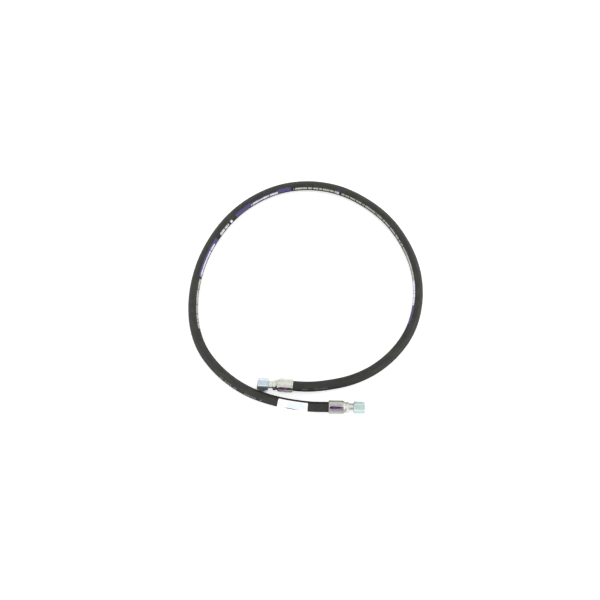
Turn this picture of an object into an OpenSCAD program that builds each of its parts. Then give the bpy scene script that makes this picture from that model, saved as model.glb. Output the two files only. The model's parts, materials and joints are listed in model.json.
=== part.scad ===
// Hydraulic hose assembly: a two-wire rubber hose, 12.7 mm bore, with a crimped
// 37 degree swivel fitting at each end, lying flat in one open loop.
// Millimetres, +Z up. Hose and ferrules rest on z = 0.
// Each fitting is drawn along its own +Z, from the ferrule's mouth (z = 0, where
// the hose enters) to the mouth of its swivel nut, and is then laid in its place.

/* [Hose] */
// Bore of the inner tube
hose_bore = 12.7; // [10:0.1:14]
// Wall of the inner rubber tube
tube_wall = 1.3; // [0.8:0.05:2]
// Thickness of each wire braid
braid_wall = 0.6; // [0.4:0.05:0.9]
// Rubber layer between the two braids
middle_wall = 0.3; // [0.2:0.05:0.6]
// Wall of the outer cover
cover_wall = 1.35; // [0.9:0.05:1.8]
// Greatest length of hose between two rings of the swept tube
ring_pitch = 50; // [42:1:63]

/* [Ferrule] */
// Length of the crimped part
ferrule_length = 30; // [26:0.5:36]
// Length of the tapered nose
ferrule_nose_length = 5.5; // [3:0.1:7]
// Wall from the hose out to the crimped lands
ferrule_wall = 3.6; // [2.5:0.1:4.5]
// Wall of the nose at its small end, round the stem's collar
ferrule_nose_wall = 1.8; // [1.4:0.1:4]
// Number of crimping dies, each of which leaves one land
die_count = 8; // [6:2:10]
// Height of the ridge left between two dies
ridge_height = 0.6; // [0.3:0.05:1]
// Width of that ridge
ridge_width = 1.8; // [1:0.1:3]
// Uncrimped length at each end of the ridges
ridge_setback = 1.8; // [1:0.1:3]
// Slope of the ridges' ends, as length along the ferrule
ridge_run = 1.2; // [0.6:0.1:2]
// Number of teeth inside that bite the cover
tooth_count = 6; // [3:1:7]
// Spacing of the teeth
tooth_pitch = 3.6; // [2.5:0.1:4]
// Height of a tooth, its bite into the cover
tooth_height = 0.6; // [0.3:0.05:0.9]
// Width of a tooth at its root
tooth_root = 1.6; // [1:0.1:2.2]
// Width of a tooth at its tip
tooth_tip = 0.4; // [0.2:0.05:0.8]
// Bevel round the mouth, outside
mouth_bevel = 0.9; // [0.3:0.1:1.5]
// Flare of the bore at the mouth, inside
mouth_flare = 0.8; // [0.3:0.1:1.5]

/* [Stem] */
// Wall of the tail inside the hose
stem_wall = 1.2; // [0.9:0.05:1.6]
// How far the tail stops short of the ferrule's mouth
tail_setback = 1.5; // [0.5:0.1:4]
// Number of barbs on the tail
barb_count = 5; // [3:1:6]
// Spacing of the barbs
barb_pitch = 4.4; // [3:0.1:5]
// Height of a barb, its bite into the tube
barb_height = 0.45; // [0.2:0.05:0.7]
// Diameter of the shoulder and collar on each side of the locking groove
collar_d = 17.2; // [16:0.1:18.4]
// Length of the shoulder that stops the hose
shoulder_length = 2.2; // [1.5:0.1:3]
// Depth of the locking groove that the ferrule's lip fills
lock_depth = 1.1; // [0.5:0.1:1.4]
// Length of the ferrule's locking lip
lip_length = 3; // [2:0.1:3.6]
// Hexagonal collar, across flats
stem_hex_af = 20.6; // [19:0.1:24]
// Length of the hexagonal collar
stem_hex_length = 6.6; // [5:0.1:10]
// Bevel of the hexagonal collar's corners, along its length
stem_hex_bevel = 0.7; // [0.3:0.1:1.2]
// Round neck that the nut turns on
neck_d = 17; // [16:0.1:17.2]
// Neck in view between collar and nut
neck_length = 9; // [4:0.1:12]
// Half angle of the sealing seat
seat_angle = 37; // [30:1:45]
// Diameter of the seat at the nose
seat_d = 14.9; // [13:0.1:15.4]
// Broken edge round the nose
nose_break = 0.3; // [0.1:0.05:0.5]

/* [Swivel nut] */
// Nut, across flats
nut_af = 22.2; // [21.6:0.1:25]
// Length of the nut
nut_length = 23; // [20:0.1:28]
// Bore of the thread, its minor diameter
thread_d = 17.5; // [17.2:0.1:18.2]
// Length of the full thread
thread_length = 10; // [7:0.1:12]
// Bevel at the thread's mouth
thread_bevel = 1; // [0.5:0.1:1.5]
// Diameter of the relief behind the thread
relief_d = 19.2; // [18.6:0.1:19.6]
// Gap from the last of the thread to the stem's nose
nose_gap = 0.4; // [0.2:0.1:1.5]
// Clearance round the stem's nose inside the thread
nose_clearance = 0.5; // [0.3:0.1:0.9]
// Thickness of the nut's solid back, from its rear face to the relief
nut_back = 6.6; // [5:0.1:8]
// Bevel of the corners at the mouth, along the nut
nut_front_bevel = 1.5; // [0.8:0.1:2.5]
// Bevel of the corners at the rear, along the nut
nut_rear_bevel = 0.6; // [0.3:0.1:1.2]

/* [Retaining wire] */
// Diameter of the wire
wire_d = 1.6; // [1.2:0.1:2]
// From the nut's rear face to the wire
wire_setback = 3.4; // [2.4:0.1:4]
// Part of a turn that the wire fills, in degrees
wire_sweep = 340; // [300:5:350]
// Hole in the nut through which the wire is fed
feed_hole_d = 1.9; // [1.5:0.1:2.3]

/* [Label] */
// Length of the label along the hose
label_length = 62; // [40:1:120]
// Hose in view between label and ferrule
label_gap = 42; // [20:1:90]
// Thickness of the label
label_thickness = 0.3; // [0.15:0.05:0.5]

/* [Fits] */
// Running clearance of nut, stem and wire, on the radius
running_clearance = 0.06; // [0.02:0.01:0.1]
// Gap between pieces that seat on each other, on the radius
seat_gap = 0.05; // [0.02:0.01:0.1]
// How far the round end face of a hexagon stays inside its flats
face_inset = 0.2; // [0.1:0.05:0.5]

/* [Lay] */
// Mouth of ferrule A
end_a_x = -36.1; // [-60:0.1:-20]
end_a_y = 20.3; // [15:0.1:40]
// Way that fitting A points, in degrees from +X
end_a_heading = 176; // [170:0.5:180]
// Turn of the ferrule, stem and nut of fitting A about its axis
ferrule_a_turn = 10.7; // [0:0.1:45]
stem_a_turn = 1; // [-30:1:30]
nut_a_turn = 1; // [-30:1:30]
// Mouth of ferrule B
end_b_x = 36.5; // [20:0.1:60]
end_b_y = -23.1; // [-40:0.1:-15]
// Way that fitting B points, in degrees from +X
end_b_heading = -1; // [-6:0.5:6]
// Turn of the ferrule, stem and nut of fitting B about its axis
ferrule_b_turn = 11.6; // [0:0.1:45]
stem_b_turn = 1; // [-30:1:30]
nut_b_turn = 4; // [-30:1:30]

/* [Hidden] */
$fn = 96;
eps = 0.01;
up = [0, 0, 1];
rubber = [0.25, 0.25, 0.235];
wire_steel = [0.62, 0.60, 0.55];
zinc = [0.80, 0.80, 0.77];
nut_zinc = [0.77, 0.84, 0.83];

// Radii of the hose's layers, from the bore outwards
bore_r = hose_bore / 2;
tube_r = bore_r + tube_wall;
inner_braid_r = tube_r + braid_wall;
middle_r = inner_braid_r + middle_wall;
outer_braid_r = middle_r + braid_wall;
hose_r = outer_braid_r + cover_wall;

// Fitting, along its axis from the ferrule's mouth
hex_corner = 1 / cos(30);
corner_margin = 0.5;
collar_r = collar_d / 2;
neck_r = neck_d / 2;
tail_r = bore_r - seat_gap;
stem_bore_r = tail_r - stem_wall;
lock_r = collar_r - lock_depth;
ferrule_end = ferrule_length + ferrule_nose_length;
hex_start = ferrule_end + seat_gap;
lock_end = hex_start - (ferrule_nose_length - lip_length);
lock_start = lock_end - lip_length;
hose_stop = lock_start - shoulder_length;
hex_end = hex_start + stem_hex_length;
hex_middle = (hex_start + hex_end) / 2;
nut_start = hex_end + neck_length;
nut_end = nut_start + nut_length;
thread_end = nut_end - thread_bevel;
thread_start = thread_end - thread_length;
nose_end = thread_start - nose_gap;
nose_r = thread_d / 2 - nose_clearance;
nose_start = nut_start + nut_back;
seat_r = seat_d / 2;
seat_length = (seat_r - stem_bore_r) / tan(seat_angle);
wire_at = nut_start + wire_setback;
wire_ring_r = neck_r + running_clearance / 2;
groove_r = wire_d / 2 + running_clearance;

// Ferrule
ferrule_bore_r = hose_r + seat_gap;
land_r = hose_r + ferrule_wall;
ridge_r = land_r + ridge_height;
nose_tip_r = collar_r + ferrule_nose_wall;
die_angle = 360 / die_count;
ridge_half_angle = asin(ridge_width / 2 / ridge_r);
ridge_root = 1;
first_tooth = (hose_stop - (tooth_count - 1) * tooth_pitch) / 2;
first_barb = (hose_stop + tail_setback - (barb_count - 1) * barb_pitch) / 2;
barb_land = 0.5;

// Angle from straight down to the nearest ridge of a ferrule turned by t,
// and the lowest reach of that ferrule, which is its axis's height
function ridge_off(t) = abs((180 - t) % die_angle - die_angle / 2);
function ferrule_reach(t) =
    max(land_r, ridge_r * cos(max(0, ridge_off(t) - ridge_half_angle)));

function unit(v) = v / norm(v);
function way(heading) = [cos(heading), sin(heading), 0];
mouth_a = [end_a_x, end_a_y, ferrule_reach(ferrule_a_turn)];
mouth_b = [end_b_x, end_b_y, ferrule_reach(ferrule_b_turn)];
way_a = way(end_a_heading);
way_b = way(end_b_heading);

// Points that the middle of the hose passes, from ferrule A round to ferrule B:
// x, y, and how far it is still lifted from the floor towards the ferrule's axis
ROUTE = [
    [0, 19, 0.7], [44, 24, 0.2], [90, 35, 0], [138, 58, 0], [183, 96, 0],
    [217, 146, 0], [235, 208, 0], [235, 274, 0], [216, 338, 0], [180, 398, 0],
    [130, 444, 0], [68, 477, 0], [0, 489, 0], [-68, 480, 0], [-130, 450, 0],
    [-180, 406, 0], [-218, 350, 0], [-243, 288, 0], [-254, 220, 0], [-249, 153, 0],
    [-227, 96, 0], [-185, 47, 0], [-132, 11, 0], [-73, -10, 0], [-11, -21, 0.5]
];
lift = (mouth_a[2] + mouth_b[2]) / 2 - hose_r;
free_points = [for (p = ROUTE) [p[0], p[1], hose_r + p[2] * lift]];
passed = concat([mouth_a], free_points, [mouth_b]);
last = len(passed) - 1;

// A guide point before and after the route makes the hose leave each ferrule straight
guide_a = passed[1] + 2 * norm(passed[1] - mouth_a) * way_a;
guide_b = passed[last - 1] + 2 * norm(passed[last - 1] - mouth_b) * way_b;
guided = concat([guide_a], passed, [guide_b]);

// Smooth curve through the points, between p[1] and p[2]
function curve(p, t) = (
    2 * p[1]
    + (p[2] - p[0]) * t
    + (2 * p[0] - 5 * p[1] + 4 * p[2] - p[3]) * t * t
    + (3 * p[1] - p[0] - 3 * p[2] + p[3]) * t * t * t
) / 2;
curve_steps = 8;
swept = [
    for (i = [0 : last - 1])
        for (k = [0 : curve_steps - 1])
            curve([for (j = [0 : 3]) guided[i + j]], k / curve_steps)
];
// The whole middle line, with the straight ends inside the ferrules
line = concat([mouth_a + hose_stop * way_a], swept, [mouth_b, mouth_b + hose_stop * way_b]);
run = [
    for (i = 0, s = 0; i < len(line); s = s + (i + 1 < len(line) ? norm(line[i + 1] - line[i]) : 0),
        i = i + 1) s
];
full_length = run[len(run) - 1];
line_x = [for (i = [0 : len(line) - 1]) [run[i], line[i][0]]];
line_y = [for (i = [0 : len(line) - 1]) [run[i], line[i][1]]];
line_z = [for (i = [0 : len(line) - 1]) [run[i], max(line[i][2], hose_r)]];
function at(s) = [lookup(s, line_x), lookup(s, line_y), lookup(s, line_z)];

// Rings: evenly spread over each stretch, with one at each end of the label
label_end = full_length - hose_stop - label_gap;
label_start = label_end - label_length;
stretches = [0, hose_stop, label_start, label_end, full_length - hose_stop, full_length];
function spread(a, b) = let (n = ceil((b - a) / ring_pitch)) [for (i = [0 : n - 1]) a + (b - a) * i / n];
stations = concat(
    [for (i = [0 : len(stretches) - 2]) each spread(stretches[i], stretches[i + 1])],
    [full_length]
);
label_stations = [for (s = stations) if (s > label_start - eps && s < label_end + eps) s];

// A ring has its first corner straight down, then goes round by the outside of the loop
sides = 12;
label_from = 1;
label_to = 7;
function outward(t) = unit([t[1], -t[0], 0]);
function ring(s, r, corners) = let (
    c = at(s),
    t = unit(at(s + 1) - at(s - 1)),
    e = outward(t),
    f = cross(e, t)
) [for (k = corners) let (a = 360 * k / sides - 90) c + r * (cos(a) * e + sin(a) * f)];

// Two triangles for a four-cornered patch
function patch(a, b, c, d) = [[a, b, c], [a, c, d]];

// One layer of the hose: a hollow tube along all stations
module hose_layer(r_in, r_out) {
    corners = [0 : sides - 1];
    outer = [for (s = stations) each ring(s, r_out, corners)];
    inner = [for (s = stations) each ring(s, r_in, corners)];
    hollow = len(outer);
    rows = len(stations) - 1;
    polyhedron(
        points = concat(outer, inner),
        faces = concat(
            [for (i = [0 : rows - 1]) for (k = corners) let (
                a = i * sides + k,
                b = i * sides + (k + 1) % sides
            ) each concat(
                patch(a, a + sides, b + sides, b),
                patch(hollow + a, hollow + b, hollow + b + sides, hollow + a + sides)
            )],
            [for (k = corners) let (
                a = k,
                b = (k + 1) % sides
            ) each concat(
                patch(a, b, hollow + b, hollow + a),
                patch(rows * sides + b, rows * sides + a,
                    hollow + rows * sides + a, hollow + rows * sides + b)
            )]
        )
    );
}

module hose_cover() {
    color(rubber) hose_layer(outer_braid_r, hose_r);
}

module outer_wire_braid() {
    color(wire_steel) hose_layer(middle_r, outer_braid_r);
}

module middle_rubber_layer() {
    color(rubber) hose_layer(inner_braid_r, middle_r);
}

module inner_wire_braid() {
    color(wire_steel) hose_layer(tube_r, inner_braid_r);
}

module hose_inner_tube() {
    color(rubber) hose_layer(bore_r, tube_r);
}

// The label lies on the hose from low on the outer side, over the top, to the inner side
module hose_label() {
    corners = [label_from : label_to];
    wide = label_to - label_from + 1;
    outer = [for (s = label_stations) each ring(s, hose_r + label_thickness, corners)];
    inner = [for (s = label_stations) each ring(s, hose_r, corners)];
    under = len(outer);
    rows = len(label_stations) - 1;
    end = rows * wide;
    edge = wide - 1;
    color("white") polyhedron(
        points = concat(outer, inner),
        faces = concat(
            [for (i = [0 : rows - 1]) for (k = [0 : edge - 1]) let (a = i * wide + k) each concat(
                patch(a, a + wide, a + wide + 1, a + 1),
                patch(under + a, under + a + 1, under + a + wide + 1, under + a + wide)
            )],
            [for (k = [0 : edge - 1]) each concat(
                patch(k, k + 1, under + k + 1, under + k),
                patch(end + k + 1, end + k, under + end + k, under + end + k + 1)
            )],
            [for (i = [0 : rows - 1]) let (a = i * wide) each concat(
                patch(a + wide, a, under + a, under + a + wide),
                patch(a + edge, a + edge + wide, under + a + edge + wide, under + a + edge)
            )]
        )
    );
}

// Lays a fitting, drawn along +Z, with its mouth at a point and pointing along a heading
module laid(mouth, heading) {
    translate(mouth) rotate([0, 90, heading]) children();
}

module at_end_a() {
    laid(mouth_a, end_a_heading) children();
}

module at_end_b() {
    laid(mouth_b, end_b_heading) children();
}

// Hexagonal bar from one height to another, its corners bevelled at both ends and
// a flat face up when turned by 0. The round section that bevels it passes outside
// the corners.
module hexagon_bar(af, low, high, low_bevel, high_bevel, turn) {
    face_r = af / 2 - face_inset;
    corner_r = af / 2 * hex_corner;
    outer_r = corner_r + corner_margin;
    slope = (outer_r - face_r) / (corner_r - face_r);
    intersection() {
        rotate([0, 0, 30 + turn]) translate([0, 0, low])
            cylinder(r = corner_r, h = high - low, $fn = 6);
        rotate_extrude() polygon([
            [0, low],
            [face_r, low],
            [outer_r, low + low_bevel * slope],
            [outer_r, high - high_bevel * slope],
            [face_r, high],
            [0, high]
        ]);
    }
}

// Ferrule: a shell with a tapered nose, crimped by dies that leave round lands
// with a ridge between each two, and with teeth and a locking lip inside
module ferrule(turn) {
    ferrule_inside = concat(
        [[ferrule_bore_r + mouth_flare, 0], [ferrule_bore_r, mouth_flare]],
        [for (i = [0 : tooth_count - 1]) let (z = first_tooth + i * tooth_pitch) each [
            [ferrule_bore_r, z - tooth_root / 2],
            [ferrule_bore_r - tooth_height, z - tooth_tip / 2],
            [ferrule_bore_r - tooth_height, z + tooth_tip / 2],
            [ferrule_bore_r, z + tooth_root / 2]
        ]],
        [
            [ferrule_bore_r, hose_stop + seat_gap],
            [collar_r + seat_gap, hose_stop + seat_gap],
            [collar_r + seat_gap, lock_start + seat_gap],
            [lock_r + seat_gap, lock_start + seat_gap],
            [lock_r + seat_gap, lock_end - seat_gap],
            [collar_r + seat_gap, lock_end - seat_gap],
            [collar_r + seat_gap, ferrule_end]
        ]
    );
    ferrule_outside = [
        [nose_tip_r, ferrule_end],
        [land_r, ferrule_length],
        [land_r, mouth_bevel],
        [land_r - mouth_bevel, 0]
    ];
    ridge_section = [
        [land_r - ridge_root, ridge_setback],
        [land_r, ridge_setback],
        [ridge_r, ridge_setback + ridge_run],
        [ridge_r, ferrule_length - ridge_setback - ridge_run],
        [land_r, ferrule_length - ridge_setback],
        [land_r - ridge_root, ferrule_length - ridge_setback]
    ];
    color(zinc) union() {
        rotate_extrude() polygon(concat(ferrule_inside, ferrule_outside));
        intersection() {
            rotate_extrude() polygon(ridge_section);
            for (k = [0 : die_count - 1])
                rotate([0, 0, turn + (k + 0.5) * die_angle])
                    translate([0, -ridge_width / 2, 0])
                        cube([ridge_r + 1, ridge_width, ferrule_length]);
        }
    }
}

// Ring-shaped room for the retaining wire, half in the stem and half in the nut
module wire_groove() {
    rotate_extrude() translate([wire_ring_r, wire_at]) circle(r = groove_r);
}

// Stem: barbed tail, shoulder, locking groove, hexagonal collar, neck and seat
module stem(turn) {
    outline = concat(
        [[0, tail_setback], [tail_r, tail_setback]],
        [for (i = [0 : barb_count - 1]) let (z = first_barb + i * barb_pitch) each [
            [tail_r, z - barb_pitch / 2 + barb_land],
            [tail_r + barb_height, z + barb_pitch / 2 - 2 * barb_land],
            [tail_r + barb_height, z + barb_pitch / 2 - barb_land],
            [tail_r, z + barb_pitch / 2 - barb_land]
        ]],
        [
            [tail_r, hose_stop],
            [collar_r, hose_stop],
            [collar_r, lock_start],
            [lock_r, lock_start],
            [lock_r, lock_end],
            [collar_r, lock_end],
            [collar_r, hex_middle],
            [neck_r, hex_middle],
            [neck_r, nose_start - (neck_r - nose_r)],
            [nose_r, nose_start],
            [nose_r, nose_end - nose_break],
            [nose_r - nose_break, nose_end],
            [0, nose_end]
        ]
    );
    passage = [
        [0, tail_setback - eps],
        [stem_bore_r, tail_setback - eps],
        [stem_bore_r, nose_end - seat_length],
        [seat_r, nose_end],
        [seat_r, nose_end + eps],
        [0, nose_end + eps]
    ];
    color(zinc) difference() {
        union() {
            rotate_extrude() polygon(outline);
            hexagon_bar(stem_hex_af, hex_start, hex_end, stem_hex_bevel, stem_hex_bevel, turn);
        }
        rotate_extrude() polygon(passage);
        wire_groove();
    }
}

// Swivel nut: hexagonal, threaded at its mouth, with a back that turns on the neck
module swivel_nut(turn) {
    inside = [
        [0, nut_start - eps],
        [neck_r + running_clearance, nut_start - eps],
        [neck_r + running_clearance, nose_start],
        [relief_d / 2, nose_start + (relief_d / 2 - neck_r)],
        [relief_d / 2, thread_start - (relief_d - thread_d) / 2],
        [thread_d / 2, thread_start],
        [thread_d / 2, thread_end],
        [thread_d / 2 + thread_bevel, nut_end],
        [thread_d / 2 + thread_bevel, nut_end + eps],
        [0, nut_end + eps]
    ];
    color(nut_zinc) rotate([0, 0, turn]) difference() {
        hexagon_bar(nut_af, nut_start, nut_end, nut_rear_bevel, nut_front_bevel, 0);
        rotate([0, 0, 90]) {
            rotate_extrude() polygon(inside);
            wire_groove();
        }
        translate([0, 0, wire_at]) rotate([0, 90, 0]) cylinder(d = feed_hole_d, h = nut_af);
    }
}

// Retaining wire: an open ring, half in the stem's groove and half in the nut's
module retaining_wire(turn) {
    color(wire_steel) rotate([0, 0, turn + (360 - wire_sweep) / 2])
        rotate_extrude(angle = wire_sweep)
            translate([wire_ring_r, wire_at]) circle(d = wire_d);
}

module ferrule_a() {
    at_end_a() ferrule(ferrule_a_turn);
}

module ferrule_b() {
    at_end_b() ferrule(ferrule_b_turn);
}

module stem_a() {
    at_end_a() stem(stem_a_turn);
}

module stem_b() {
    at_end_b() stem(stem_b_turn);
}

module swivel_nut_a() {
    at_end_a() swivel_nut(nut_a_turn);
}

module swivel_nut_b() {
    at_end_b() swivel_nut(nut_b_turn);
}

module retaining_wire_a() {
    at_end_a() retaining_wire(nut_a_turn);
}

module retaining_wire_b() {
    at_end_b() retaining_wire(nut_b_turn);
}

hose_cover();
outer_wire_braid();
middle_rubber_layer();
inner_wire_braid();
hose_inner_tube();
ferrule_a();
ferrule_b();
stem_a();
stem_b();
swivel_nut_a();
swivel_nut_b();
retaining_wire_a();
retaining_wire_b();
hose_label();
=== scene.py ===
"""Looks of the hydraulic hose assembly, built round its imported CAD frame.

Everything is in metres and in the part's own frame. The sizes that the CAD model also
has are repeated here in millimetres, under the same names, and turned into metres by MM.
"""
import json
import math

import bpy
import numpy as np
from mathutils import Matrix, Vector


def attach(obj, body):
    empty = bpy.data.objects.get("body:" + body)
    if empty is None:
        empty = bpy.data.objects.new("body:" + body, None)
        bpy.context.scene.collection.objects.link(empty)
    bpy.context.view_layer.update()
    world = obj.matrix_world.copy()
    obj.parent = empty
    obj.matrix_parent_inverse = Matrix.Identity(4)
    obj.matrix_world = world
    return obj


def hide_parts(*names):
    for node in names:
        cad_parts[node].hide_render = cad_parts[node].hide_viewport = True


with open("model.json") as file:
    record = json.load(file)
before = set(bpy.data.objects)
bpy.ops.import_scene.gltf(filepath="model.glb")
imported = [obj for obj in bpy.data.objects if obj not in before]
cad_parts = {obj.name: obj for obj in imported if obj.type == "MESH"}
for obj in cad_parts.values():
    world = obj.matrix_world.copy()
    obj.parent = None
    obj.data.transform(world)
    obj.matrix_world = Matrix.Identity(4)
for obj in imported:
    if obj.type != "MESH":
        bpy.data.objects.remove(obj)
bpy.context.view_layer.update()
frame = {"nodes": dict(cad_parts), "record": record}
ROOT = "hose_and_ends"
MM = 0.001

# ---------------------------------------------------------------- camera

VIEW_CENTRE = Vector((-21.75, 209.0, 10.5)) * MM
VIEW_DISTANCE = 1272 * MM
VIEW_TILT = math.radians(18)
LENS = 35


def make_camera():
    """The photograph's view: nearly straight down, tilted back towards -Y."""
    data = bpy.data.cameras.new("camera")
    data.lens = LENS
    data.clip_start = 0.02
    camera = bpy.data.objects.new("camera", data)
    bpy.context.scene.collection.objects.link(camera)
    camera.rotation_euler = (VIEW_TILT, 0, 0)
    back = Vector((0, -math.sin(VIEW_TILT), math.cos(VIEW_TILT)))
    camera.location = VIEW_CENTRE + VIEW_DISTANCE * back
    bpy.context.scene.camera = camera


make_camera()

# ---------------------------------------------------------------- route of the hose

HOSE_R = 10.5
LAYERS = {
    "hose_cover": (9.15, 10.5),
    "outer_wire_braid": (8.55, 9.15),
    "middle_rubber_layer": (8.25, 8.55),
    "inner_wire_braid": (7.65, 8.25),
    "hose_inner_tube": (6.35, 7.65),
}
HOSE_STOP = 27.85
MOUTH = {"a": np.array([-36.1, 20.3, 14.5464]), "b": np.array([36.5, -23.1, 14.5779])}
HEADING = {"a": 176.0, "b": -1.0}
# x, y and the share of the lift towards the ferrules' axis, as in the CAD model
ROUTE = [
    (0, 19, 0.7), (44, 24, 0.2), (90, 35, 0), (138, 58, 0), (183, 96, 0),
    (217, 146, 0), (235, 208, 0), (235, 274, 0), (216, 338, 0), (180, 398, 0),
    (130, 444, 0), (68, 477, 0), (0, 489, 0), (-68, 480, 0), (-130, 450, 0),
    (-180, 406, 0), (-218, 350, 0), (-243, 288, 0), (-254, 220, 0), (-249, 153, 0),
    (-227, 96, 0), (-185, 47, 0), (-132, 11, 0), (-73, -10, 0), (-11, -21, 0.5),
]
CURVE_STEPS = 24
HOSE_STEP = 2.5
SMOOTHING = 12


def way(end):
    """The direction in which a fitting points, from its ferrule's mouth."""
    a = math.radians(HEADING[end])
    return np.array([math.cos(a), math.sin(a), 0.0])


def curve(p, t):
    """Smooth curve between p[1] and p[2]."""
    return 0.5 * (
        2 * p[1]
        + (p[2] - p[0]) * t
        + (2 * p[0] - 5 * p[1] + 4 * p[2] - p[3]) * t**2
        + (3 * p[1] - p[0] - 3 * p[2] + p[3]) * t**3
    )


def hose_line():
    """Middle line of the hose, in millimetres, from the stop in end A to the one in end B."""
    lift = (MOUTH["a"][2] + MOUTH["b"][2]) / 2 - HOSE_R
    free = [np.array([x, y, HOSE_R + share * lift]) for x, y, share in ROUTE]
    passed = [MOUTH["a"], *free, MOUTH["b"]]
    first = passed[1] + 2 * np.linalg.norm(passed[1] - passed[0]) * way("a")
    final = passed[-2] + 2 * np.linalg.norm(passed[-2] - passed[-1]) * way("b")
    guided = [first, *passed, final]
    line = [
        curve(guided[i : i + 4], k / CURVE_STEPS)
        for i in range(len(passed) - 1)
        for k in range(CURVE_STEPS)
    ]
    start = MOUTH["a"] + HOSE_STOP * way("a")
    end = MOUTH["b"] + HOSE_STOP * way("b")
    line = np.array([start, *line, MOUTH["b"], end])
    line[:, 2] = np.maximum(line[:, 2], HOSE_R)
    return line


def evenly(line, step):
    """The line again, with points about step apart."""
    run = np.concatenate([[0], np.cumsum(np.linalg.norm(np.diff(line, axis=0), axis=1))])
    s = np.linspace(0, run[-1], int(round(run[-1] / step)) + 1)
    return np.column_stack([np.interp(s, run, line[:, k]) for k in range(3)]), s


def smoothed(line, passes):
    """Rounds the small corners of an evenly spaced line and keeps its ends straight."""
    out = line.copy()
    for _ in range(passes):
        out[3:-3] = 0.25 * out[2:-4] + 0.5 * out[3:-3] + 0.25 * out[4:-2]
    return out


LINE, RUN = evenly(hose_line(), HOSE_STEP)
LINE = smoothed(LINE, SMOOTHING)
LENGTH = float(RUN[-1])


def ring_frames(line):
    """At each point, the direction out of the loop and the direction up."""
    tangent = np.gradient(line, axis=0)
    tangent /= np.linalg.norm(tangent, axis=1)[:, None]
    outward = np.column_stack([tangent[:, 1], -tangent[:, 0], np.zeros(len(line))])
    outward /= np.linalg.norm(outward, axis=1)[:, None]
    return outward, np.cross(outward, tangent)


OUTWARD, UPWARD = ring_frames(LINE)


def on_hose(s, turn, r):
    """Points at distance s along the hose, at the angle turn (in degrees, 0 in the loop,
    90 on top, 180 outside) and r from its middle line, all in millimetres."""
    s, turn, r = np.broadcast_arrays(s, turn, r)
    place = [np.interp(s, RUN, LINE[:, k]) for k in range(3)]
    out = [np.interp(s, RUN, OUTWARD[:, k]) for k in range(3)]
    up = [np.interp(s, RUN, UPWARD[:, k]) for k in range(3)]
    a = np.radians(turn)
    axes = [place[k] + r * (np.sin(a) * up[k] - np.cos(a) * out[k]) for k in range(3)]
    return np.stack(axes, axis=-1)


# ---------------------------------------------------------------- mesh helpers

SHARP_EDGE = 35


def add_mesh(name, points, faces, layout, sharp=SHARP_EDGE):
    """A mesh object from points in millimetres, smooth apart from its sharp edges. The
    layout holds each point's place along the piece and its angle round it, in degrees."""
    mesh = bpy.data.meshes.new(name)
    mesh.from_pydata((np.asarray(points) * MM).tolist(), [], faces)
    mesh.polygons.foreach_set("use_smooth", [True] * len(mesh.polygons))
    corner = np.zeros(len(mesh.loops), np.int32)
    mesh.loops.foreach_get("vertex_index", corner)
    starts = np.zeros(len(mesh.polygons), np.int32)
    sizes = np.zeros(len(mesh.polygons), np.int32)
    mesh.polygons.foreach_get("loop_start", starts)
    mesh.polygons.foreach_get("loop_total", sizes)
    along, around = np.asarray(layout, float)[corner].T
    most = np.repeat(np.maximum.reduceat(around, starts), sizes)
    around = np.where(most - around > 180, around + 360, around)
    layer = mesh.uv_layers.new(name="Layout")
    layer.data.foreach_set("uv", np.column_stack([along, around]).ravel())
    mesh.set_sharp_from_angle(angle=math.radians(sharp))
    piece = bpy.data.objects.new(name, mesh)
    bpy.context.scene.collection.objects.link(piece)
    return piece


def grid_faces(rows, columns, close_rows=False, close_columns=False, flip=False):
    """Quads of a grid whose point (i, k) has the index i * columns + k."""
    faces = []
    for i in range(rows if close_rows else rows - 1):
        for k in range(columns if close_columns else columns - 1):
            a = i * columns + k
            b = i * columns + (k + 1) % columns
            c = (i + 1) % rows * columns + (k + 1) % columns
            d = (i + 1) % rows * columns + k
            faces.append((a, d, c, b) if flip else (a, b, c, d))
    return faces


def finish_piece(piece, body, material, replaced):
    """Gives a piece its material, its body and the CAD nodes that it stands for."""
    piece.data.materials.append(material)
    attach(piece, body)
    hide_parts(*replaced)
    return piece


# ---------------------------------------------------------------- node helpers


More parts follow.
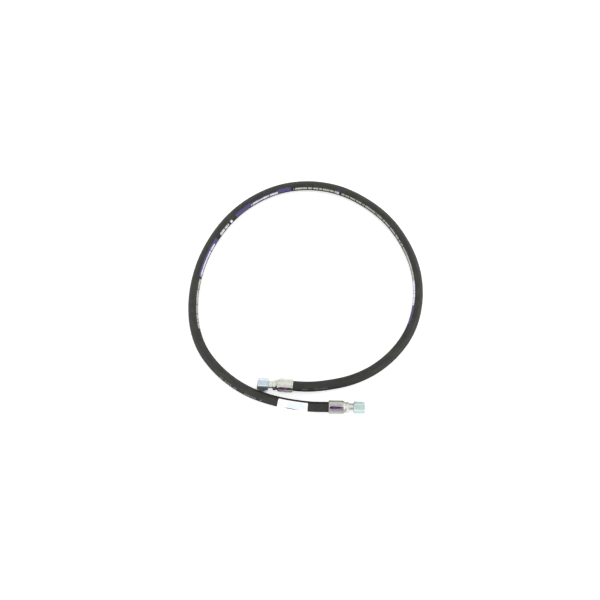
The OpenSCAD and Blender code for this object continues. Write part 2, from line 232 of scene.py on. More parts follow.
class Nodes:
    """Short calls for building the node tree of a material, or of the world."""

    def __init__(self, owner):
        owner.use_nodes = True
        self.owner = owner
        self.tree = owner.node_tree

    def add(self, kind, **values):
        node = self.tree.nodes.new("ShaderNode" + kind)
        for key, value in values.items():
            setattr(node, key, value)
        return node

    def link(self, out, into):
        self.tree.links.new(out, into)

    def put(self, value, into):
        """Links an output, or sets a number or colour."""
        if isinstance(value, bpy.types.NodeSocket):
            self.link(value, into)
        else:
            into.default_value = value

    def math(self, operation, *values):
        node = self.add("Math", operation=operation)
        for i, value in enumerate(values):
            self.put(value, node.inputs[i])
        return node.outputs[0]

    def times(self, first, *others):
        """All the values multiplied."""
        for value in others:
            first = self.math("MULTIPLY", first, value)
        return first

    def apart(self, a, b):
        """How far two values are apart."""
        return self.math("ABSOLUTE", self.math("SUBTRACT", a, b))

    def mix(self, share, a, b):
        """Colour a where share is 0 and colour b where it is 1."""
        node = self.add("Mix", data_type="RGBA")
        self.put(share, node.inputs[0])
        self.put(a, node.inputs[6])
        self.put(b, node.inputs[7])
        return node.outputs[2]

    def noise(self, vector, scale, detail, roughness=0.55):
        node = self.add("TexNoise")
        self.link(vector, node.inputs["Vector"])
        node.inputs["Scale"].default_value = scale
        node.inputs["Detail"].default_value = detail
        node.inputs["Roughness"].default_value = roughness
        return node.outputs["Fac"]

    def ramp(self, value, stops, interpolation="LINEAR"):
        """A colour ramp whose stops are (place, colour), a colour being a grey or RGBA."""
        node = self.add("ValToRGB")
        node.color_ramp.interpolation = interpolation
        elements = node.color_ramp.elements
        while len(elements) > 1:
            elements.remove(elements[-1])
        for i, (place, colour) in enumerate(stops):
            element = elements[0] if i == 0 else elements.new(place)
            element.position = place
            element.color = colour if isinstance(colour, tuple) else (colour,) * 3 + (1,)
        self.link(value, node.inputs[0])
        return node

    def fit(self, value, low, high, to_low=0.0, to_high=1.0, kind="LINEAR"):
        """Turns low into to_low and high into to_high, and stays there beyond them."""
        node = self.add("MapRange", interpolation_type=kind)
        self.link(value, node.inputs[0])
        for i, bound in enumerate((low, high, to_low, to_high)):
            node.inputs[i + 1].default_value = bound
        return node.outputs[0]

    def bump(self, height, strength, distance):
        node = self.add("Bump")
        node.inputs["Strength"].default_value = strength
        node.inputs["Distance"].default_value = distance
        self.link(height, node.inputs["Height"])
        return node.outputs[0]

    def object_place(self):
        return self.add("TexCoord").outputs["Object"]

    def split(self, vector):
        node = self.add("SeparateXYZ")
        self.link(vector, node.inputs[0])
        return node.outputs[0], node.outputs[1], node.outputs[2]

    def layout(self):
        """A point's place along its piece, in millimetres, and its angle round it."""
        return self.split(self.add("UVMap", uv_map="Layout").outputs[0])[:2]

    def combine(self, x, y):
        node = self.add("CombineXYZ")
        self.put(x, node.inputs[0])
        self.put(y, node.inputs[1])
        return node.outputs[0]

    def surface(self, colour, roughness, normal=None, **others):
        """Connects or sets the sockets of a material's shader."""
        sockets = {"Base Color": colour, "Roughness": roughness}
        if normal is not None:
            sockets["Normal"] = normal
        for name, value in others.items():
            sockets[name.replace("_", " ")] = value
        for name, value in sockets.items():
            self.put(value, self.tree.nodes["Principled BSDF"].inputs[name])
        return self.owner


def new_material(name):
    return Nodes(bpy.data.materials.new(name))


def rgb(code):
    """An sRGB hex code as a linear colour."""
    parts = [int(code[i : i + 2], 16) / 255 for i in (0, 2, 4)]
    return tuple(c / 12.92 if c < 0.04045 else ((c + 0.055) / 1.055) ** 2.4 for c in parts) + (1.0,)


def tinted(n, colour, patterns, tints):
    """Lays tints over a colour. A tint is (pattern, from and to this value of it, its share
    at the two, colour)."""
    for pattern, low, high, share_low, share_high, tint in tints:
        share = n.fit(patterns[pattern], low, high, share_low, share_high)
        colour = n.mix(share, colour, rgb(tint))
    return colour


def crossing_stripes(n, along, around, density, slant, scale):
    """Two sets of stripes that go round a hose in opposite directions."""
    sets = []
    for way_round in (1, -1):
        wave = n.add("TexWave", wave_type="BANDS", bands_direction="X")
        slanted = n.math("ADD", n.times(along, density), n.times(around, way_round * slant))
        n.link(n.combine(slanted, 0.0), wave.inputs["Vector"])
        wave.inputs["Scale"].default_value = scale
        sets.append(wave.outputs["Fac"])
    return sets


def uneven_bars(n, along, pitch, fill):
    """A chance value for each bar of a row, and 1 where the row has a bar, else 0."""
    place = n.math("DIVIDE", along, pitch)
    chance = n.add("TexWhiteNoise", noise_dimensions="1D")
    n.link(n.math("FLOOR", place), chance.inputs["W"])
    return chance.outputs["Value"], n.math("LESS_THAN", n.math("FRACT", place), fill)


# ---------------------------------------------------------------- hose

# What is printed or dark on the cover. A stretch is (from, to, ink), in mm along the hose
# from its stop in end A. A band is (stretches, middle and half of its turn round the hose,
# bars, strength), and bars are (pitch, share that a bar fills, share left out) or None.
PURPLE = rgb("564a80")
WHITE_INK = rgb("f2f0f5")
PALE_INK = rgb("d4d4c8")
GREY_INK = rgb("bebeb5")
DULL_INK = rgb("74746c")
DOT_INK = rgb("93938d")
# SHADOW is painted shadow, at the ferrules' mouths and on the upper inner side near end B
SHADOW = rgb("060604")
NAVY_LINE = rgb("06061a")
NO_INK = (0.0, 0.0, 0.0, 0.0)
BARS = (2.1, 0.74, 0.12)
DOTS = (4.3, 0.55, 0.3)
BANDS = [
    ([(330, 432, PURPLE), (880, 952, PURPLE)], 28, 19, None, 0.85),
    ([
        (729, 735, PURPLE), (845, 880, PURPLE), (952, 999, PURPLE), (1066, 1167, PURPLE),
    ], 35, 24, None, 0.9),
    ([
        (378, 432, WHITE_INK), (432, 500, GREY_INK), (729, 735, WHITE_INK), (880, 890, WHITE_INK),
        (1007, 1018, WHITE_INK), (1171, 1180, PALE_INK),
    ], 24, 13, None, 0.7),
    ([
        (378, 432, WHITE_INK), (432, 725, GREY_INK), (738, 840, PALE_INK), (890, 952, WHITE_INK),
        (1080, 1167, WHITE_INK), (1182, 1290, PALE_INK),
    ], 27, 15, BARS, 0.95),
    ([(1007, 1018, WHITE_INK), (1023, 1055, WHITE_INK)], 29, 20, BARS, 0.95),
    ([(44, 58, DULL_INK), (70, 94, DULL_INK)], 135, 9, BARS, 0.7),
    ([(1402, 1508, DOT_INK)], 145, 12, DOTS, 0.85),
    ([(1480, 1640, SHADOW)], 46, 9, None, 0.75),
    ([(27, 31.5, SHADOW), (1602.5, 1606.5, NAVY_LINE), (1641, 1646, SHADOW)], 90, 100, None, 0.9),
]
BAND_EDGE = (-3, 5)
BAR_EDGE = (-1.5, 1.5)
SHORTEST_BAR = 0.6

# The cover's two blacks, and the tints over them as tinted() takes them. Their patterns
# are made in rubber_cover: three noises, the turn round the hose, the turn away from its
# top, and the share in which a place is near an end. The tint by the turn round the hose
# makes the outer side lighter; the one by the turn away from the top is painted shade,
# which makes the sides near black.
RUBBER = ("292a25", "353532")
RUBBER_TINTS = [
    ("tint", 0.52, 0.64, 0.0, 0.7, "3d3d2f"), ("tint", 0.36, 0.48, 0.6, 0.0, "353339"),
    ("streak", 0.5, 0.66, 0.0, 0.8, "464645"), ("streak", 0.3, 0.44, 0.6, 0.0, "20211e"),
    ("fine", 0.35, 0.65, 0.0, 0.3, "21211f"),
    # The outer side made lighter, then painted shade that turns the sides near black
    ("around", 70, 125, 0.0, 0.3, "4d4d4b"), ("from_top", 35, 72, 0.0, 1.0, "10100f"),
    ("near_end", 0.0, 1.0, 0.0, 1.0, "1d1e1b"),
]
TOP_TURN = 90
# Where along the hose the darker stretches near its ends fade out and in, and their share
NEAR_END_A, NEAR_END_B, NEAR_END_SHARE = (150, 250), (1440, 1560), 0.4
CLOTH_DEPTH = 0.00016
BRAID_DEPTH = 0.0002


def stretch_ramp(n, along, stretches):
    """The ink at each place along the hose."""
    stops, ended = [(0.0, NO_INK)], None
    for low, high, ink in stretches:
        if low == ended:
            stops.pop()
        stops += [(low / LENGTH, ink), (high / LENGTH, NO_INK)]
        ended = high
    return n.ramp(n.math("DIVIDE", along, LENGTH), stops, "CONSTANT").outputs


def printed_band(n, along, around, stretches, centre, half, bars):
    """Share and colour of a printed band: plain with soft edges, or made of upright bars
    of uneven height and spacing, which spell nothing."""
    ink = stretch_ramp(n, along, stretches)
    off = n.apart(around, centre)
    if bars is None:
        inside = n.fit(off, half + BAND_EDGE[0], half + BAND_EDGE[1], 1.0, 0.0)
        return n.times(inside, ink["Alpha"]), ink["Color"]
    pitch, fill, lack = bars
    chance, bar = uneven_bars(n, along, pitch, fill)
    tall = n.fit(chance, 0, 1, SHORTEST_BAR * half, half)
    inside = n.fit(n.math("SUBTRACT", tall, off), *BAR_EDGE)
    printed = n.times(inside, bar, n.math("GREATER_THAN", chance, lack))
    return n.times(printed, ink["Alpha"]), ink["Color"]


def rubber_cover():
    """Matt black rubber with the print of its curing cloth, mottled tints, a lighter outer
    side, painted shade on its sides, the printed lines and painted shadows.
    """
    n = new_material("cover_rubber")
    along, around = n.layout()
    place = n.object_place()
    cloud = n.noise(place, 30, 5, 0.6)
    drawn_out = n.combine(n.times(along, 0.035), n.times(around, 0.06))
    end_a = n.fit(along, *NEAR_END_A, NEAR_END_SHARE, 0.0)
    end_b = n.fit(along, *NEAR_END_B, 0.0, NEAR_END_SHARE)
    patterns = {
        "tint": n.noise(place, 75, 3, 0.5),
        "fine": n.noise(place, 900, 3, 0.6),
        "streak": n.noise(drawn_out, 1.0, 5, 0.62),
        "around": around,
        "from_top": n.apart(around, TOP_TURN),
        "near_end": n.math("MAXIMUM", end_a, end_b),
    }
    colour = n.mix(n.fit(cloud, 0.35, 0.65), rgb(RUBBER[0]), rgb(RUBBER[1]))
    colour = tinted(n, colour, patterns, RUBBER_TINTS)
    worn = n.fit(n.noise(place, 420, 3, 0.7), 0.38, 0.52, 0.7, 1.0)
    for stretches, centre, half, bars, strength in BANDS:
        ink, tone = printed_band(n, along, around, stretches, centre, half, bars)
        colour = n.mix(n.times(ink, worn, strength), colour, tone)
    cloth = n.times(*crossing_stripes(n, along, around, 0.9, 0.165, 0.32))
    height = n.math("ADD", cloth, n.times(patterns["fine"], 0.5))
    height = n.math("ADD", height, n.times(patterns["streak"], 1.5))
    rough = n.fit(cloud, 0.3, 0.7, 0.55, 0.72)
    return n.surface(colour, rough, n.bump(height, 0.5, CLOTH_DEPTH), Specular_IOR_Level=0.25)


def inner_rubber():
    n = new_material("inner_rubber")
    grain = n.noise(n.object_place(), 500, 3)
    colour = n.mix(grain, rgb("1a1a1a"), rgb("2c2c2b"))
    return n.surface(colour, n.fit(grain, 0, 1, 0.45, 0.6), n.bump(grain, 0.2, 0.00005))


def braided_wire():
    """Brass-coated wires laid over each other in two crossing directions."""
    n = new_material("braided_wire")
    along, around = n.layout()
    crossing = n.math("MAXIMUM", *crossing_stripes(n, along, around, 1.0, 0.11, 0.5))
    colour = n.mix(crossing, rgb("4a4030"), rgb("b79c63"))
    rough = n.fit(crossing, 0, 1, 0.6, 0.3)
    return n.surface(colour, rough, n.bump(crossing, 0.8, BRAID_DEPTH), Metallic=1.0)


COVER_SIDES = 48
INNER_SIDES = 24


def hose_layer(name, inner_r, outer_r, sides):
    """A closed hollow tube along the hose's whole line."""
    s = np.repeat(RUN[:, None], sides, axis=1)
    turn = np.repeat(np.linspace(0, 360, sides, endpoint=False)[None, :] - 90, len(RUN), axis=0)
    outer = on_hose(s, turn, outer_r).reshape(-1, 3)
    inner = on_hose(s, turn, inner_r).reshape(-1, 3)
    points = np.vstack([outer, inner])
    count, rows = len(outer), len(RUN)
    faces = grid_faces(rows, sides, close_columns=True)
    lining = grid_faces(rows, sides, close_columns=True, flip=True)
    faces += [tuple(count + v for v in f) for f in lining]
    for row, flip in ((0, True), (rows - 1, False)):
        for k in range(sides):
            a = row * sides + k
            b = row * sides + (k + 1) % sides
            quad = (a, b, b + count, a + count)
            faces.append(quad[::-1] if flip else quad)
    layout = np.column_stack([np.tile(s.ravel(), 2), np.tile(turn.ravel(), 2)])
    return add_mesh(name, points, faces, layout)


def make_hose():
    """The five layers of the hose."""
    looks = {
        "hose_rubber": rubber_cover(),
        "inner_rubber": inner_rubber(),
        "braid_wire": braided_wire(),
    }
    slots = {r["node"]: r["material_slot"] for r in frame["record"]["subparts"]}
    made = {}
    for node, (inner_r, outer_r) in LAYERS.items():
        sides = COVER_SIDES if node == "hose_cover" else INNER_SIDES
        piece = hose_layer(node + "_skin", inner_r, outer_r, sides)
        finish_piece(piece, ROOT, looks[slots[node]], [node])
        made[node] = piece
    return made


# ---------------------------------------------------------------- fittings: sizes

FERRULE_LENGTH = 30.0
FERRULE_END = 35.5
LAND_R = 14.1
RIDGE_HEIGHT = 0.6
RIDGE_HALF = 1.15
RIDGE_SETBACK = 1.8
RIDGE_LEAD = 0.7
RIDGE_RUN = 1.4
RIDGE_REACH = 3
DIE_COUNT = 8
DIE_STEPS = 30
LAND_FLAT = 0.1
SKIN_INSET = 0.02
NOSE_TIP_R = 10.4
FERRULE_BORE_R = 10.55
TOOTH_COUNT = 6
TOOTH_PITCH = 3.6
TOOTH_HEIGHT = 0.6
# From a tooth's middle, and the share of its height there
TOOTH_OUTLINE = [(0.8, 0), (0.2, 1), (-0.2, 1), (-0.8, 0)]
MOUTH_BEVEL = 0.9
MOUTH_FLARE = 0.8
# How far the rounded rows at the ferrule's mouth and nose reach, and the body's rows between
MOUTH_REACH = 1.6
NOSE_REACH = 0.9
BODY_SETBACK = 1.0
BODY_ROWS = 44
EDGE_ROUNDING = 0.5
COLLAR_R = 8.6
LOCK_R = 7.5
LOCK_START = 30.05
LOCK_END = 33.05
SEAT_GAP = 0.05
TAIL_SETBACK = 1.5
TAIL_R = 6.3
BARB_COUNT = 5
BARB_PITCH = 4.4
BARB_HEIGHT = 0.45
# From a barb's middle, and the share of its height there
BARB_OUTLINE = [(-1.7, 0), (1.2, 1), (1.7, 1), (1.75, 0)]
STEM_BORE_R = 5.1
STEM_HEX_AF = 20.6
STEM_BEVELS = (0.3, 0.7)
STEM_ROUNDING = (0.14, 2)
HEX_START = 35.55
HEX_END = 42.15
NECK_R = 8.5
NECK_FILLET = 0.5
NUT_AF = 22.2
NUT_BEVELS = (0.6, 1.5)
NUT_ROUNDING = (0.16, 3)
NUT_EDGE = 0.25
NUT_START = 51.15
NUT_END = 74.15
WIRE_AT = 54.55
GROOVE_R = 0.86
GROOVE_SINK = 0.03
GROOVE_ARC = np.linspace(0.1, math.pi - 0.1, 7)
NOSE_START = 57.75
NOSE_END = 62.75
NOSE_R = 8.25
NOSE_BEVEL = 0.3
SEAT_R = 7.45
SEAT_LENGTH = 3.12
RELIEF_START = 58.85
RELIEF_END = 62.3
RELIEF_R = 9.6
THREAD_START = 63.15
THREAD_END = 73.15
THREAD_R = 8.75
THREAD_MAJOR_R = 9.525
THREAD_PITCH = 1.5875
THREAD_CREST = 0.12
THREAD_FLANK = 0.7
THREAD_RUN_IN = 0.8
THREAD_BEVEL = 1.0
THREAD_STEPS = 12
FEED_HOLE_R = 0.95
FEED_HOLE_SIDES = 24
FEED_HOLE_DEPTHS = (NECK_R - 1.2, NUT_AF / 2 + 2)
RUNNING = 0.06
FACE_INSET = 0.2
FACE_DEPTH = 0.4
CORNER_CUT = 0.05425
SIDE_STEPS = 14
SIDE_SPACING = 0.55
# Turns of the crimping dies, of the stem's hexagon and of the nut's, in degrees
TURNS = {"a": (10.7, 1.0, 1.0), "b": (11.6, 1.0, 4.0)}


def at_end(end, local):
    """Points of a fitting, drawn along its own +Z from the ferrule's mouth, in the part's frame."""
    h = math.radians(HEADING[end])
    x, y, z = np.moveaxis(np.asarray(local, float), -1, 0)
    return np.stack([
        MOUTH[end][0] + z * math.cos(h) - y * math.sin(h),
        MOUTH[end][1] + z * math.sin(h) + y * math.cos(h),
        MOUTH[end][2] - x,
    ], axis=-1)


# ---------------------------------------------------------------- fittings: shapes


MOST_OF_SIDE = 0.42


def rounded(section, radius, steps=3):
    """The closed section with each corner rounded as far as its sides have room."""
    out = []
    count = len(section)
    for i in range(count):
        here = np.array(section[i], float)
        before = np.array(section[i - 1], float) - here
        after = np.array(section[(i + 1) % count], float) - here
        len_b, len_a = np.linalg.norm(before), np.linalg.norm(after)
        reach = min(radius, MOST_OF_SIDE * len_b, MOST_OF_SIDE * len_a)
        start = here + before / len_b * reach
        end = here + after / len_a * reach
        for k in range(steps + 1):
            t = k / steps
            out.append((1 - t) ** 2 * start + 2 * t * (1 - t) * here + t**2 * end)
    return out


def turned(name, end, section_at, angles):
    """A closed turned piece. section_at gives the closed section (z, r) at an angle."""
    sections = np.array([section_at(a) for a in angles])
    columns, rows = sections.shape[:2]
    z, r = sections[..., 0].T, sections[..., 1].T
    a = np.radians(angles)[None, :]
    local = np.stack([r * np.cos(a), r * np.sin(a), z], axis=-1).reshape(-1, 3)
    across = np.repeat(np.asarray(angles)[None, :], rows, axis=0)
    layout = np.column_stack([z.ravel(), across.ravel()])
    faces = grid_faces(rows, columns, close_rows=True, close_columns=True)
    return add_mesh(name, at_end(end, local), faces, layout)


def smooth_step(low, high, value):
    t = min(max((value - low) / (high - low), 0), 1)
    return t * t * (3 - 2 * t)


def ferrule_inside():
    """The ferrule's inner outline from the nose to the mouth: locking lip and teeth."""
    collar_r, lock_r = COLLAR_R + SEAT_GAP, LOCK_R + SEAT_GAP
    first = (HOSE_STOP - (TOOTH_COUNT - 1) * TOOTH_PITCH) / 2
    points = [
        (FERRULE_END, collar_r), (LOCK_END - SEAT_GAP, collar_r),
        (LOCK_END - SEAT_GAP, lock_r), (LOCK_START + SEAT_GAP, lock_r),
        (LOCK_START + SEAT_GAP, collar_r), (HOSE_STOP + SEAT_GAP, collar_r),
        (HOSE_STOP + SEAT_GAP, FERRULE_BORE_R),
    ]
    for i in reversed(range(TOOTH_COUNT)):
        z = first + i * TOOTH_PITCH
        points += [(z + dz, FERRULE_BORE_R - share * TOOTH_HEIGHT) for dz, share in TOOTH_OUTLINE]
    return points + [(MOUTH_FLARE, FERRULE_BORE_R), (0, FERRULE_BORE_R + MOUTH_FLARE)]


def ferrule_outside():
    """The ferrule's outer outline from the mouth to the nose, before the dies press it."""
    mouth = rounded([
        (0, LAND_R - 2.4), (0, LAND_R - MOUTH_BEVEL), (MOUTH_BEVEL, LAND_R), (2.4, LAND_R),
    ], EDGE_ROUNDING)
    body_z = np.linspace(MOUTH_REACH, FERRULE_LENGTH - BODY_SETBACK, BODY_ROWS)
    nose = rounded([
        (FERRULE_LENGTH - 3, LAND_R), (FERRULE_LENGTH, LAND_R),
        (FERRULE_END, NOSE_TIP_R), (FERRULE_END, NOSE_TIP_R - 2),
    ], EDGE_ROUNDING, 5)
    # The first and last points only lead into the corners between them, so they are left out
    mouth = [(z, r) for z, r in mouth if z < MOUTH_REACH and r > LAND_R - MOUTH_REACH]
    nose_start, tip_r = FERRULE_LENGTH - NOSE_REACH, NOSE_TIP_R - NOSE_REACH
    nose = [(z, r) for z, r in nose if z > nose_start and r > tip_r]
    return [*mouth, *((z, LAND_R) for z in body_z), *nose]


def pressed(z):
    """The share of the dies' full depth at z, which falls to none near both ends."""
    low, high = RIDGE_SETBACK - RIDGE_LEAD, RIDGE_SETBACK + RIDGE_RUN
    return smooth_step(low, high, z) * smooth_step(low, high, FERRULE_LENGTH - z)


def make_ferrule(end, material):
    """Crimped shell: eight round lands with a soft ridge between each two, a slightly
    flared mouth that the dies don't reach, and a tapered nose."""
    turn = TURNS[end][0]
    inside, outside = ferrule_inside(), ferrule_outside()
    pitch = 360 / DIE_COUNT

    def section(angle):
        off = ((angle - turn) % pitch - pitch / 2) * math.pi / 180 * LAND_R
        ridge = math.exp(-((off / RIDGE_HALF) ** 4)) if abs(off) < RIDGE_REACH else 0.0
        flat = LAND_FLAT * math.cos(math.radians((angle - turn) * DIE_COUNT))
        height = RIDGE_HEIGHT * ridge - max(flat, 0)
        return [(z, r + pressed(z) * height - SKIN_INSET) for z, r in outside] + inside

    angles = np.linspace(0, 360, DIE_COUNT * DIE_STEPS, endpoint=False) + turn
    piece = turned(f"ferrule_{end}_shell", end, section, angles)
    return finish_piece(piece, ROOT, material, [f"ferrule_{end}"])


def hexagon_angles(turn):
    """Angles round a hexagon, closer together at its corners."""
    out = []
    for side in range(6):
        middle = turn + 60 * side
        for k in range(SIDE_STEPS):
            t = -1 + 2 * k / SIDE_STEPS
            out.append(middle + 30 * math.copysign(abs(t) ** SIDE_SPACING, t))
    return out


def corner_r(af):
    """Distance to a sharp hexagon's corner."""
    return af / 2 / math.cos(math.radians(30))


def hexagon_r(af, angle, turn):
    """Distance to a hexagon's side at an angle, with its corners cut off a little."""
    off = abs((angle - turn + 30) % 60 - 30)
    return min(af / 2 / math.cos(math.radians(off)), corner_r(af) - CORNER_CUT)


def hexagon_rows(af, angle, turn, low, high, bevels):
    """The outside of a bevelled hexagonal bar at one angle, from low to high."""
    r = hexagon_r(af, angle, turn)
    face_r = af / 2 - FACE_INSET
    share = (r - face_r) / (corner_r(af) - face_r)
    return [
        (low, face_r - FACE_DEPTH), (low, face_r), (low + bevels[0] * share, r),
        (high - bevels[1] * share, r), (high, face_r), (high, face_r - FACE_DEPTH),
    ]


def wire_groove(r, way_out):
    """Half of the retaining wire's channel, cut into a wall at r: way_out is 1 or -1."""
    return [
        (WIRE_AT - GROOVE_R * math.cos(a), r + way_out * GROOVE_R * math.sin(a))
        for a in GROOVE_ARC
    ]


def make_stem(end, material):
    """Barbed tail, shoulder, locking groove, hexagonal collar, neck and sealing nose."""
    turn = TURNS[end][1]
    first = (HOSE_STOP + TAIL_SETBACK - (BARB_COUNT - 1) * BARB_PITCH) / 2
    tail = [(TAIL_SETBACK, STEM_BORE_R), (TAIL_SETBACK, TAIL_R)]
    for i in range(BARB_COUNT):
        z = first + i * BARB_PITCH
        tail += [(z + dz, TAIL_R + share * BARB_HEIGHT) for dz, share in BARB_OUTLINE]
    tail += [
        (HOSE_STOP, TAIL_R), (HOSE_STOP, COLLAR_R), (LOCK_START, COLLAR_R), (LOCK_START, LOCK_R),
        (LOCK_END, LOCK_R), (LOCK_END, COLLAR_R), (HEX_START, COLLAR_R),
    ]
    neck = [
        (HEX_END, NECK_R + NECK_FILLET), (HEX_END + NECK_FILLET, NECK_R), *wire_groove(NECK_R, -1),
        (NOSE_START - (NECK_R - NOSE_R), NECK_R), (NOSE_START, NOSE_R),
        (NOSE_END - NOSE_BEVEL, NOSE_R), (NOSE_END, SEAT_R + NOSE_BEVEL), (NOSE_END, SEAT_R),
        (NOSE_END - SEAT_LENGTH, STEM_BORE_R),
    ]

    def section(angle):
        collar = hexagon_rows(STEM_HEX_AF, angle, turn, HEX_START, HEX_END, STEM_BEVELS)
        return rounded([*tail, *collar, *neck], *STEM_ROUNDING)

    piece = turned(f"stem_{end}_turned", end, section, hexagon_angles(turn))
    return finish_piece(piece, ROOT, material, [f"stem_{end}"])


def thread_rows(angle):
    """The internal thread at one angle, from its far end to the mouth of the nut."""
    length = THREAD_END - THREAD_START
    count = int(length / THREAD_PITCH * THREAD_STEPS)
    rows = []
    for i in range(count + 1):
        z = THREAD_START + length * i / count
        phase = (z / THREAD_PITCH - angle / 360) % 1
        valley = 1 - abs(2 * phase - 1)
        depth = min(max((valley - THREAD_CREST) / THREAD_FLANK, 0), 1)
        run_in = min((z - THREAD_START) / THREAD_RUN_IN, (THREAD_END - z) / THREAD_RUN_IN, 1)
        rows.append((z, THREAD_R + (THREAD_MAJOR_R - THREAD_R) * depth * max(run_in, 0)))
    return rows


def make_nut(end, material):
    """Hexagonal swivel nut with its real thread, relief, bearing bore and wire groove."""
    turn = TURNS[end][2]
    bore_r = NECK_R + RUNNING
    corner_points = NUT_ROUNDING[1] + 1
    mouth = [(NUT_END, THREAD_R + THREAD_BEVEL)]
    back = [
        (RELIEF_END, RELIEF_R), (RELIEF_START, RELIEF_R), (NOSE_START, bore_r),
        *wire_groove(bore_r - GROOVE_SINK, 1)[::-1],
        (NUT_START + NUT_EDGE, bore_r), (NUT_START, bore_r + NUT_EDGE),
    ]

    def section(angle):
        outside = hexagon_rows(NUT_AF, angle, turn, NUT_START, NUT_END, NUT_BEVELS)
        # Without the points of the first and last corner, which lie inside the nut
        outside = rounded(outside, *NUT_ROUNDING)[corner_points:-corner_points]
        return outside + mouth + thread_rows(angle)[::-1] + back

    corners = hexagon_angles(turn)
    angles = []
    for a, b in zip(corners, corners[1:] + [corners[0] + 360]):
        angles += [a, (a + b) / 2]
    piece = turned(f"swivel_nut_{end}_threaded", end, section, angles)
    drill_feed_hole(piece, end, turn)
    return finish_piece(piece, f"nut_{end}", material, [f"swivel_nut_{end}"])


def drill_feed_hole(nut, end, turn):
    """Cuts the hole, on the nut's underside, through which the retaining wire is fed."""
    a = np.radians(turn)
    outward = np.array([math.cos(a), math.sin(a), 0])
    beside = np.array([-math.sin(a), math.cos(a), 0])
    axis = np.array([0, 0, 1])
    sides = FEED_HOLE_SIDES
    rings = []
    for depth in FEED_HOLE_DEPTHS:
        for b in np.arange(sides) * 2 * math.pi / sides:
            sideways = beside * FEED_HOLE_R * math.cos(b)
            rings.append(outward * depth + sideways + axis * (WIRE_AT + FEED_HOLE_R * math.sin(b)))
    faces = [(k, (k + 1) % sides, sides + (k + 1) % sides, sides + k) for k in range(sides)]
    faces += [tuple(range(sides))[::-1], tuple(range(sides, 2 * sides))]
    drill = add_mesh("drill", at_end(end, rings), faces, np.zeros((2 * sides, 2)))
    cut = nut.modifiers.new("feed_hole", "BOOLEAN")
    cut.operation = "DIFFERENCE"
    cut.solver = "EXACT"
    cut.object = drill
    shaped = nut.evaluated_get(bpy.context.evaluated_depsgraph_get())
    shaped = bpy.data.meshes.new_from_object(shaped)
    nut.modifiers.clear()
    nut.data = shaped
    nut.data.set_sharp_from_angle(angle=math.radians(SHARP_EDGE))
    bpy.data.objects.remove(drill)


# ---------------------------------------------------------------- fittings: materials

SPECK_GREY = rgb("84847e")
CRIMP_GREY = rgb("77776f")
# Colour of the painted shade on one side of a ferrule or stem
PAINTED_SHADE_METAL = rgb("6a6a66")
# Colour of the painted highlight along a nut's corners
HIGHLIGHT_METAL = rgb("f4f8f8")
# How soft the edges of that painted shade are, in degrees
PAINTED_SHADE_EDGE = 8
TURNING_DEPTH = 0.00006
STROKE_WANDER = 1.2
STROKE_EDGE = (-1.5, 2.0)
STROKE_LEAST = 0.86
STROKE_BLUNTNESS = 5.0
# Where the painted highlight along a hexagon's corners fades out, and its strength
HIGHLIGHT_EDGE, HIGHLIGHT_SHARE = (3.0, 6.5), 0.6


def plated_steel(name, light, dark, turning, roughness, metallic=1.0, marks=()):
    """Zinc-plated steel: cloudy plating, fine marks of turning round it, small specks.
    Each of marks gets the nodes, the layout and the colour, and gives the colour back."""
    n = new_material(name)
    along, around = n.layout()
    place = n.object_place()
    cloud = n.noise(place, 150, 4, 0.6)
    speck = n.noise(place, 1400, 2, 0.7)
    rings = n.noise(n.combine(n.times(along, 5.5), n.times(around, 0.012)), 1.0, 3, 0.65)
    colour = n.mix(n.fit(cloud, 0.3, 0.7), light, dark)
    colour = n.mix(n.fit(speck, 0.6, 0.74, 0.0, 0.3), colour, SPECK_GREY)
    for paint in marks:
        colour = paint(n, along, around, colour)
    dull, ringed = n.fit(cloud, 0.3, 0.7, *roughness), n.fit(rings, 0.35, 0.65, -0.04, 0.06)
    height = n.math("ADD", n.times(rings, turning), n.times(speck, 0.06))
    normal = n.bump(height, 0.3, TURNING_DEPTH)
    return n.surface(colour, n.math("ADD", dull, ringed), normal, Metallic=metallic)


def marker_stroke(low, high, centre, halves, tones, strength):
    """A marker pen's stroke along a ferrule, from low to high in mm, with rounded ends and
    half as wide as halves at the two, in degrees. tones are (share of the length, colour)."""

    def paint(n, along, around, colour):
        to_end = n.math("ABSOLUTE", n.fit(along, low, high, -1.0, 1.0))
        rest = n.math("SUBTRACT", 1.0, n.math("POWER", to_end, STROKE_BLUNTNESS))
        rest = n.math("MAXIMUM", rest, 0.0)
        width = n.times(n.math("POWER", rest, 0.5), n.fit(along, low, high, *halves))
        wander = n.noise(n.combine(n.times(along, 0.22), 0.0), 1.0, 2)
        middle = n.fit(wander, 0.3, 0.7, centre - STROKE_WANDER, centre + STROKE_WANDER)
        inside = n.fit(n.math("SUBTRACT", width, n.apart(around, middle)), *STROKE_EDGE)
        shade = n.ramp(n.fit(along, low, high), tones).outputs["Color"]
        streaks = n.noise(n.combine(n.times(along, 0.08), n.times(around, 0.35)), 1.0, 3)
        full = n.fit(streaks, 0.3, 0.6, STROKE_LEAST * strength, strength)
        return n.mix(n.times(inside, full), colour, shade)

    return paint


def from_middle(n, around, turn, pitch):
    """The distance to the middle of each two marks that stand pitch apart, counted from
    turn, as a share of the pitch."""
    place = n.math("DIVIDE", n.math("SUBTRACT", n.math("ADD", around, 720), turn), pitch)
    return n.apart(n.math("FRACT", place), 0.5)


def corner_highlights(turn):
    """Painted highlight: brighter metal along a hexagon's corners."""

    def paint(n, along, around, colour):
        off = n.times(from_middle(n, around, turn, 60), 60)
        return n.mix(n.fit(off, *HIGHLIGHT_EDGE, HIGHLIGHT_SHARE, 0.0), colour, HIGHLIGHT_METAL)

    return paint


